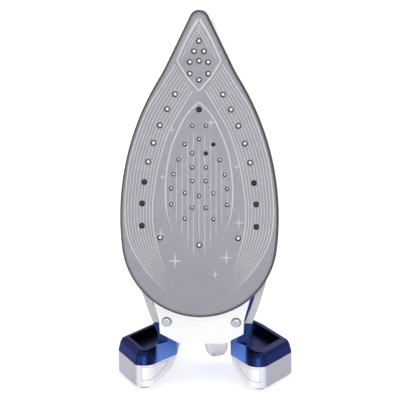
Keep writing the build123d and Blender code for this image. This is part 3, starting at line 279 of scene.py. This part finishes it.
# Silver lacquer of the feet, with painted highlights: paler in front, palest beside the channel
silver = flaked("silver_lacquer", (0.36, 0.37, 0.43), (0.43, 0.44, 0.50), 0.36, 0.3, bump=0.01)
paint_light_and_shade(silver, (0.72, 0.71, 0.80), ("front", -0.5, -0.92))
paint_light_and_shade(silver, (0.95, 0.93, 1.0), aside(0.046, 0.040), ("front", -0.2, -0.4))

looks = {
    enamel: ["sole_plate"],
    casting: ["heating_casting"],
    steel: ["heating_element", "cover_screws", "thermal_fuse", "lid_pin", "gland_pin", "dial_shaft",
            "steam_needle"],
    screw_steel: ["heel_screws"],
    sheet_steel: ["chamber_cover", "thermostat"],
    seal: ["chamber_gasket", "valve_seat", "steam_piston", "spray_piston"],
    white: ["heat_skirt", "filler_collar", "handle_body"],
    pearl: ["rear_housing"],
    heel_blue: ["heel_shell"],
    blue: ["handle_cover"],
    silver: ["left_foot", "right_foot"],
    plate: ["left_foot_plate", "right_foot_plate"],
    tank: ["water_tank", "filler_lid"],
    grey: ["spray_nozzle", "steam_pump", "spray_pump", "foot_pads", "temperature_dial", "steam_knob",
           "steam_button", "spray_button"],
    frosted: ["cord_gland"],
    soft_grip: ["grip_pad"],
    dark: ["terminal_block"],
    amber: ["pilot_lens"],
}
for material, names in looks.items():
    for name in names:
        nodes[name].data.materials.clear()
        nodes[name].data.materials.append(material)


# New pieces
def piece(name, mesh, material, body):
    """New visible piece that moves with a body."""
    made = bpy.data.objects.new(name, mesh)
    scene.collection.objects.link(made)
    mesh.materials.append(material)
    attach(made, body)


def mesh_of(name, build):
    """Mesh with the faces that a function builds."""
    bm = bmesh.new()
    build(bm)
    mesh = bpy.data.meshes.new(name)
    bm.to_mesh(mesh)
    bm.free()
    return mesh


def around(radius, steps):
    """Offsets of the points round a circle."""
    return [(radius * cos(2 * pi * i / steps), radius * sin(2 * pi * i / steps)) for i in range(steps)]


def band(bm, inner, outer):
    """Faces between two closed rings of corners; a ring may be one corner repeated."""
    faces = []
    for i in range(len(inner)):
        j = (i + 1) % len(inner)
        corners = dict.fromkeys((inner[i], inner[j], outer[j], outer[i]))
        faces.append(bm.faces.new(list(corners)))
    return faces


def fan(bm, middle, ring):
    """Faces between a middle corner and a closed ring of corners."""
    for i, corner in enumerate(ring):
        bm.faces.new((middle, corner, ring[(i + 1) % len(ring)]))


# Steam holes of the sole, placed by distance behind the nose and X: each has a dark rim and wall as
# painted shade, and behind it a bright cup as painted highlight, but in the deep holes a dark depth as
# painted shade
WIDEST = SOLE_LENGTH - 77.4
SHOULDER = (60.0, 35.25)         # a place that the flanks pass through
STEAM_HOLE, MICRO_HOLE = 2.1, 1.5                # mouth radius of the large and small holes
HOLE_TAPER = 0.62                # back radius of a hole as a share of its mouth
FLANK_HOLES, FLANK_HOLE_INSET = 8, 17.0
FLANK_HOLE_START, FLANK_HOLE_STEP, FLANK_HOLE_EASE = -2.0, 5.3, 0.22     # degrees along the flank's arc
TIP_HOLES = [(23.7, 0.0), (31.6, 3.8), (39.8, 7.0), (38.8, 0.0), (48.7, 7.1), (53.5, 0.0), (76.1, 0.0)]
REAR_HOLES = [(175.0, 30.0), (180.5, 0.0)]
COLUMNS = {
    0.0: (98.9, 142.4),
    5.3: (88.5, 109.7, 120.6, 131.0, 151.7),
    11.0: (102.8, 140.4, 160.2),
    15.7: (114.7,),
    19.7: (126.0,),
    21.5: (136.9, 149.3),
}
DEEP_FLANK_HOLES = 3             # on each side, from the widest place on
DEEP_HOLES = [(76.1, 0.0), (102.8, 11.0), (109.7, 5.3)]
HOLE_STEPS = 24
RIM = ((0.22, -0.02), (0.1, -0.06), (-0.04, -0.03))      # radius beyond the mouth's, and n
LINER_WALL = 0.06
LINER_DEPTH = 0.6                # share of the sole's thickness
FLOOR_EDGE = 0.8                 # where a floor bends, as a share of its radius
CUP_FLOOR, DEEP_FLOOR = (0.95, 0.75), (2.25, 2.4)        # n at that bend and in the middle


def both(points):
    """Points of a half pattern with their mirror images."""
    return [(d, side * x) for d, x in points for side in ((1, -1) if x else (1,))]


shoulder_run, shoulder_fall = WIDEST - SHOULDER[0], SOLE_WIDTH / 2 - SHOULDER[1]
flank_radius = (shoulder_run**2 + shoulder_fall**2) / (2 * shoulder_fall)
hole_radius = flank_radius - FLANK_HOLE_INSET
hole_angles = [
    radians(FLANK_HOLE_START + FLANK_HOLE_STEP * i - FLANK_HOLE_EASE * i * (i - 1) / 2)
    for i in range(FLANK_HOLES)
]
flank_holes = [
    (WIDEST - hole_radius * sin(a), SOLE_WIDTH / 2 - flank_radius + hole_radius * cos(a))
    for a in hole_angles
]
large = both(flank_holes + TIP_HOLES + REAR_HOLES)
micro = both([(d, x) for x, column in COLUMNS.items() for d in column])
holes = [(d, x, STEAM_HOLE) for d, x in large] + [(d, x, MICRO_HOLE) for d, x in micro]
deep = set(both(flank_holes[:DEEP_FLANK_HOLES]) + DEEP_HOLES)
liner_end = LINER_DEPTH * SOLE_THICK


def turned(bm, d, x, profile):
    """Surface turned about the axis of a hole; the profile gives radius and n."""
    rings = []
    for radius, n in profile:
        if radius == 0:
            rings.append([bm.verts.new(on_sole(d, x, n))] * HOLE_STEPS)
        else:
            rings.append([bm.verts.new(on_sole(d + a, x + b, n)) for a, b in around(radius, HOLE_STEPS)])
    for inner, outer in zip(rings, rings[1:]):
        for face in band(bm, inner, outer):
            face.smooth = True


def liner_back(mouth):
    """Radius at the back end of a hole's liner."""
    return mouth - (mouth - HOLE_TAPER * mouth) * LINER_DEPTH - LINER_WALL


def liners(bm):
    for d, x, mouth in holes:
        rim = [(mouth + beyond, n) for beyond, n in RIM]
        turned(bm, d, x, [*rim, (liner_back(mouth), liner_end)])


def floors(bm, wanted, bend, low):
    for d, x, mouth in holes:
        if ((d, x) in deep) == wanted:
            back = liner_back(mouth)
            turned(bm, d, x, [(back, liner_end), (back * FLOOR_EDGE, bend), (0, low)])


def cups(bm):
    floors(bm, False, *CUP_FLOOR)


def depths(bm):
    floors(bm, True, *DEEP_FLOOR)


# dark liners and depths as painted shade, bright cups as painted highlight
piece("steam_hole_shade_liners", mesh_of("liners", liners), hole_rim_painted_shade, "iron")
piece("steam_hole_highlight_cups", mesh_of("cups", cups), hole_painted_highlight, "iron")
piece("steam_hole_shade_depths", mesh_of("depths", depths), hole_painted_shade, "iron")


# Shadow line round each screw in the white panel
PANEL_HIGH, PANEL_LOW = (76.0, 16.5), (38.2, 22.6)       # u and n of the panel's face
SCREW_U, SCREW_X = 55.5, 27.0
RING_RADII, RING_PROUD, RING_STEPS = (3.25, 3.9), 0.04, 36


def screw_rings(bm):
    grade = (PANEL_LOW[1] - PANEL_HIGH[1]) / (PANEL_HIGH[0] - PANEL_LOW[0])
    for side in (-1, 1):
        rings = []
        for radius in RING_RADII:
            ring = []
            for a, b in around(radius, RING_STEPS):
                u = SCREW_U + a
                n = PANEL_HIGH[1] + (PANEL_HIGH[0] - u) * grade - RING_PROUD
                ring.append(bm.verts.new(at(u, side * SCREW_X + b, n)))
            rings.append(ring)
        band(bm, *rings)


piece("heel_screw_shadow_rings", mesh_of("screw_rings", screw_rings), screw_ring_painted_shadow, "iron")


# Printed lines on the sole, given by distance behind the nose and X
PRINT_N = -0.035                 # just in front of the ironing face
PRINT_STEP = 0.7
HOLE_MARGIN = 0.5                # bare ring round each steam hole
FINE, MEDIUM, BOLD = 0.5, 0.55, 0.85             # widths of the lines


def curve(points, steps=14):
    """Smooth line through points."""
    ends = [points[0], *points, points[-1]]
    out = []
    for a, b, c, d in zip(ends, ends[1:], ends[2:], ends[3:]):
        for i in range(steps):
            t = i / steps
            out.append(tuple(
                0.5 * (2 * q + (r - p) * t + (2 * p - 5 * q + 4 * r - s) * t * t
                       + (3 * q - p - 3 * r + s) * t**3)
                for p, q, r, s in zip(a, b, c, d)
            ))
    return [*out, points[-1]]


def resample(line, step):
    """Points evenly spaced along a line."""
    out = [Vector(line[0])]
    left = step
    for a, b in zip(line, line[1:]):
        a, b = Vector(a), Vector(b)
        length = (b - a).length
        run = left
        while run < length:
            out.append(a + (b - a) * (run / length))
            run += step
        left = run - length
    out.append(Vector(line[-1]))
    return out


def ribbon(bm, line, width, taper=(0.0, 0.0), swell=0.0):
    """Printed line, broken at the steam holes, tapered over its ends and swollen at its start."""
    points = resample(line, PRINT_STEP)
    total = PRINT_STEP * len(points)
    last = None
    for i, p in enumerate(points):
        before, after = points[max(0, i - 1)], points[min(len(points) - 1, i + 1)]
        way = (after - before).normalized()
        side = Vector((-way.y, way.x))
        half = width / 2 * (1 + swell * (1 - i / len(points)))
        if taper[0] and i * PRINT_STEP < taper[0]:
            half *= i * PRINT_STEP / taper[0]
        if taper[1] and total - i * PRINT_STEP < taper[1]:
            half *= max(0.0, (total - (i + 1) * PRINT_STEP) / taper[1])
        if any((p.x - d) ** 2 + (p.y - x) ** 2 < (r + HOLE_MARGIN) ** 2 for d, x, r in holes):
            last = None
            continue
        now = [bm.verts.new(on_sole(*(p + side * s * half), PRINT_N)) for s in (-1, 1)]
        if last:
            bm.faces.new((last[0], last[1], now[1], now[0]))
        last = now


def mirrored_ribbon(bm, line, width, **shape):
    """Printed line and its mirror image."""
    for half in (line, [(d, -x) for d, x in line]):
        ribbon(bm, half, width, **shape)


# Half of the pattern, read off in the picture's columns and rows
TIP_ROW, MIDDLE_COLUMN = 9.5, 199.0
ROWS_PER_MM, COLUMNS_PER_MM = 1.2958, 1.293
OUTER_LINE = [(175.7, 63.3), (163.3, 83.3), (146.7, 111), (131.9, 153.5), (126.6, 186.7), (125.2, 213),
              (128.5, 237), (137.3, 256.7), (153.3, 278.3), (170, 293.5)]
INNER_LINE = [(192.7, 89), (180.5, 109.5), (169.3, 130), (159.6, 160), (154.2, 190), (152.6, 212),
              (154, 231), (158, 248), (163, 262), (168, 272)]
DROP_LINE = [(198.8, 100.6), (187, 113), (178.7, 128.3), (171.4, 146.7), (167.3, 166.7), (165.5, 190),
             (167.4, 213), (173.5, 231)]
BAR_ROWS = ((140, 241), (127, 258), (131, 249), (146, 239), (159, 224), (181, 213))      # middle first
BAR_COLUMNS = 5.62               # from one bar to the next


def row(y):
    """Distance behind the tip of a row of the picture."""
    return (y - TIP_ROW) / ROWS_PER_MM


def read_off(points):
    return [(row(y), (x - MIDDLE_COLUMN) / COLUMNS_PER_MM) for x, y in points]


STRIPES = 9                      # steps from the outer line to the inner one


def stripes(bm):
    outer, inner = curve(read_off(OUTER_LINE)), curve(read_off(INNER_LINE))
    for k in range(STRIPES + 1):
        share = k / STRIPES
        line = [tuple(o + (i - o) * share for o, i in zip(p, q)) for p, q in zip(outer, inner)]
        mirrored_ribbon(bm, line, BOLD if k in (0, STRIPES) else FINE, taper=(0, 28.0))


KITE_TIP, KITE_SIDE, KITE_LOW = (6.1, 0.0), (38.8, -16.9), (61.9, 0.0)
KITE_ABOVE, KITE_BELOW = (20.8, -8.6), (51.9, -8.6)      # halfway along its upper and lower edges
KITE_STEPS = 30
KITE_LINES = ((3.2, 0.86), (5.2, 0.66))          # inset of each inner line, and how much of it is printed
INSET_DOWN, INSET_IN = 1.55, 0.28                # how far an inset moves a line


def kite(bm):
    above = curve([KITE_TIP, KITE_ABOVE, KITE_SIDE], KITE_STEPS)
    below = curve([KITE_SIDE, KITE_BELOW, KITE_LOW], KITE_STEPS)
    mirrored_ribbon(bm, above, 1.25, swell=0.75)
    mirrored_ribbon(bm, below, 1.35)
    for inset, end in KITE_LINES:
        line = [(d + inset * INSET_DOWN, x + inset * INSET_IN * min(1.0, -x / 2)) for d, x in above]
        line = [p for p in line if p[1] <= 0][: int(len(above) * end)]
        mirrored_ribbon(bm, line, MEDIUM, taper=(0, 7.0))


def teardrop(bm):
    mirrored_ribbon(bm, curve(read_off(DROP_LINE)), 1.1, taper=(0, 22.0))


def bars(bm):
    for k, (top, bottom) in enumerate(BAR_ROWS):
        for side in ((1,) if k == 0 else (1, -1)):
            x = side * BAR_COLUMNS * k / COLUMNS_PER_MM
            ribbon(bm, [(row(top), x), (row(bottom), x)], FINE, taper=(10.0, 10.0))


SPARKLES = ((92.0, -20.5, 3.4), (86.0, 9.0, 4.6), (128.0, -28.0, 3.6), (120.0, 28.5, 3.2),
            (163.0, 30.5, 5.6), (172.0, -29.5, 4.4), (190.0, 21.0, 6.6), (193.0, -18.5, 6.8),
            (203.0, 12.5, 4.0))  # place and reach
SPARKLE_REACH = (1.0, 0.14, 0.85, 0.14) * 2      # rays and hollows by turns, as shares of the reach


def sparkles(bm):
    for d, x, size in SPARKLES:
        ring = []
        for share, (a, b) in zip(SPARKLE_REACH, around(size, len(SPARKLE_REACH))):
            ring.append(bm.verts.new(on_sole(d + share * a, x + share * b, PRINT_N)))
        fan(bm, bm.verts.new(on_sole(d, x, PRINT_N)), ring)


for name, build in (("print_stripes", stripes), ("print_tip", kite), ("print_teardrop", teardrop),
                    ("print_bars", bars), ("print_sparkles", sparkles)):
    piece(name, mesh_of(name, build), print_ink, "iron")


# Marks on the controls: dots and a swelling band on the dial, a pointer on the knob, plain signs on the
# buttons
DIAL_U, KNOB_U, BUTTON_U, BUTTON_X = 128.0, 184.0, 215.0, 9.3
MARK_PROUD = 0.05
ABOVE_ALL = 220.0                # n of a place beyond the handle
DOT_STEPS = 16
BAND_RADIUS, BAND_START, BAND_SWEEP, BAND_STEPS = 13.2, 60.0, 240.0, 48      # sweep in degrees
BAND_WIDTHS = (0.5, 3.2)
DOTS_RADIUS, DOT_RADIUS, DOT_GAP = 20.3, 0.95, 7.5       # gap in degrees
DOTS = ((1, 105.0), (2, 180.0), (3, 255.0))      # number of dots and their middle in degrees
POINTER_START, POINTER_STEPS, POINTER_WIDTH = 1.5, 6, 1.2
WAVE_LENGTH, WAVE_GAP, WAVE_SWING, WAVE_WIDTH, WAVE_STEPS = 7.0, 2.6, 0.6, 0.7, 20
DROP_ROW_GAP, DROP_GAP, DROP_RADIUS = 2.6, 2.4, 0.6


class Surface:
    """Outer side of a node, on which flat marks are laid."""

    def __init__(self, name):
        self.place = nodes[name].matrix_world.copy()
        bm = bmesh.new()
        bm.from_mesh(nodes[name].data)
        self.tree = BVHTree.FromBMesh(bm)
        bm.free()

    def point(self, u, x):
        start, end = (self.place.inverted() @ at(u, x, n) for n in (ABOVE_ALL, 0.0))
        spot, normal, _, _ = self.tree.ray_cast(start, (end - start).normalized())
        return self.place @ (spot + normal * MARK_PROUD / 1000)

    def dot(self, bm, u, x, radius):
        middle = bm.verts.new(self.point(u, x))
        ring = [bm.verts.new(self.point(u + a, x + b)) for a, b in around(radius, DOT_STEPS)]
        fan(bm, middle, ring)

    def streak(self, bm, line, widths):
        last = None
        for i, (u, x) in enumerate(line):
            before, after = line[max(0, i - 1)], line[min(len(line) - 1, i + 1)]
            way = Vector((after[0] - before[0], after[1] - before[1])).normalized()
            half = (widths[0] + (widths[1] - widths[0]) * i / (len(line) - 1)) / 2
            now = [bm.verts.new(self.point(u - way.y * half * s, x + way.x * half * s)) for s in (-1, 1)]
            if last:
                bm.faces.new((last[0], last[1], now[1], now[0]))
            last = now


def button_x(name):
    """Middle of a button across the iron, on the side where the frame has it."""
    return -BUTTON_X if nodes[name].data.vertices[0].co.x < 0 else BUTTON_X


def dial_marks(bm):
    top = Surface("temperature_dial")
    arc = [radians(BAND_START + BAND_SWEEP * i / BAND_STEPS) for i in range(BAND_STEPS + 1)]
    top.streak(bm, [(DIAL_U + BAND_RADIUS * cos(a), BAND_RADIUS * sin(a)) for a in arc], BAND_WIDTHS)
    for count, middle in DOTS:
        for k in range(count):
            a = radians(middle + DOT_GAP * (k - (count - 1) / 2))
            top.dot(bm, DIAL_U + DOTS_RADIUS * cos(a), DOTS_RADIUS * sin(a), DOT_RADIUS)


def knob_mark(bm):
    line = [(KNOB_U + POINTER_START + i, 0.0) for i in range(POINTER_STEPS)]
    Surface("steam_knob").streak(bm, line, (POINTER_WIDTH, POINTER_WIDTH))


def steam_sign(bm):
    top = Surface("steam_button")
    x = button_x("steam_button")
    for k in (-1, 0, 1):
        wave = [
            (BUTTON_U + WAVE_LENGTH * (i / WAVE_STEPS - 0.5),
             x + WAVE_GAP * k + WAVE_SWING * sin(2 * pi * i / WAVE_STEPS))
            for i in range(WAVE_STEPS + 1)
        ]
        top.streak(bm, wave, (WAVE_WIDTH, WAVE_WIDTH))


def spray_sign(bm):
    top = Surface("spray_button")
    x = button_x("spray_button")
    for line in range(3):
        for k in range(line + 1):
            top.dot(bm, BUTTON_U + DROP_ROW_GAP * (line - 1), x + DROP_GAP * (k - line / 2), DROP_RADIUS)


for name, build, body in (("dial_marks", dial_marks, "dial"), ("knob_mark", knob_mark, "steam_control"),
                          ("steam_sign", steam_sign, "steam_push"),
                          ("spray_sign", spray_sign, "spray_push")):
    piece(name, mesh_of(name, build), mark_ink, body)


# Floor and background
FLOOR_HALF = 6.0
FLOOR_TONES = ((0.58, 0.58, 0.59), (0.60, 0.60, 0.61))
FLOOR_GLOW = 0.7                 # lifts the floor to white where it is seen as background
WORLD_LIGHT, WORLD_SEEN = 0.5, 1.0               # strength as a light, and where it is seen


def background(tree, light, seen):
    """Strength that differs between light on the object and rays that show the background."""
    ray = tree.nodes.new("ShaderNodeLightPath").outputs
    mirrored = maths(tree, "MAXIMUM", ray["Is Glossy Ray"], ray["Is Transmission Ray"])
    level = tree.nodes.new("ShaderNodeMapRange")
    settings(level, To_Min=light, To_Max=seen)
    tree.links.new(maths(tree, "MAXIMUM", ray["Is Camera Ray"], mirrored), level.inputs["Value"])
    return level.outputs["Result"]


def floor_paper():
    """Pale paper with a faint cloud in its tone."""
    material, tree, shader, node = graph("floor_paper")
    where = node("ShaderNodeTexCoord")
    fibre = node("ShaderNodeTexNoise", Scale=40.0)
    ramp = node("ShaderNodeValToRGB")
    for stop, tone in zip(ramp.color_ramp.elements, FLOOR_TONES):
        stop.color = (*tone, 1)
    tree.links.new(where.outputs["Object"], fibre.inputs["Vector"])
    tree.links.new(fibre.outputs["Fac"], ramp.inputs["Fac"])
    tree.links.new(ramp.outputs["Color"], shader.inputs["Base Color"])
    settings(shader, Roughness=0.9, Specular_IOR_Level=0.1, Emission_Color=(1, 1, 1, 1))
    tree.links.new(background(tree, 0.0, FLOOR_GLOW), shader.inputs["Emission Strength"])
    return material


floor_mesh = bpy.data.meshes.new("floor")
corners = [(x * FLOOR_HALF, y * FLOOR_HALF, 0) for x, y in ((-1, -1), (1, -1), (1, 1), (-1, 1))]
floor_mesh.from_pydata(corners, [], [(0, 1, 2, 3)])
floor = bpy.data.objects.new("floor", floor_mesh)
scene.collection.objects.link(floor)
floor_mesh.materials.append(floor_paper())

world = bpy.data.worlds.new("studio")
scene.world = world
world.use_nodes = True
sky = world.node_tree
sky.nodes["Background"].inputs["Color"].default_value = (1, 1, 1, 1)
sky.links.new(background(sky, WORLD_LIGHT, WORLD_SEEN), sky.nodes["Background"].inputs["Strength"])


# Lamps, in metres and watts
MIDDLE, FOOT = (0, 0, 0.15), (0, 0, 0.05)


def lamp(name, place, aim, size, power):
    """Soft rectangular lamp."""
    data = bpy.data.lights.new(name, "AREA")
    data.shape = "RECTANGLE"
    data.size, data.size_y = size
    data.energy = power
    made = bpy.data.objects.new(name, data)
    made.location = place
    made.rotation_euler = (Vector(aim) - Vector(place)).to_track_quat("-Z", "Y").to_euler()
    scene.collection.objects.link(made)


lamp("key", (1.0, -1.5, 0.9), MIDDLE, (0.9, 0.9), 6.5)
lamp("fill", (-1.3, -1.3, 0.5), MIDDLE, (0.8, 0.9), 4.7)
lamp("front", (0, -1.7, 0.3), FOOT, (1.0, 0.4), 9)
lamp("back", (0.4, 1.3, 1.0), FOOT, (1.0, 0.6), 7)
lamp("top", (0, 0.2, 1.7), MIDDLE, (1.2, 1.2), 7)


# Camera at the photograph's viewing angle
LENS, SENSOR = 300.0, 36.0
AZIMUTH, ELEVATION, ROLL = radians(5.0), radians(15.0), radians(0.75)
TARGET = Vector((-0.9, SOLE_LINE + 40.0, 146.7)) / 1000
FIELD = 0.3084                   # width of the picture at the target, in metres

camera_data = bpy.data.cameras.new("camera")
camera = bpy.data.objects.new("camera", camera_data)
scene.collection.objects.link(camera)
scene.camera = camera
camera_data.lens = LENS
camera_data.sensor_width = SENSOR
camera_data.clip_start, camera_data.clip_end = 0.01, 50
distance = FIELD * LENS / SENSOR
back = Vector((sin(AZIMUTH) * cos(ELEVATION), -cos(AZIMUTH) * cos(ELEVATION), sin(ELEVATION)))
camera.location = TARGET + back * distance
camera.rotation_euler = ((-back).to_track_quat("-Z", "Y") @ Quaternion((0, 0, 1), -ROLL)).to_euler()
scene.view_settings.view_transform = "Standard"
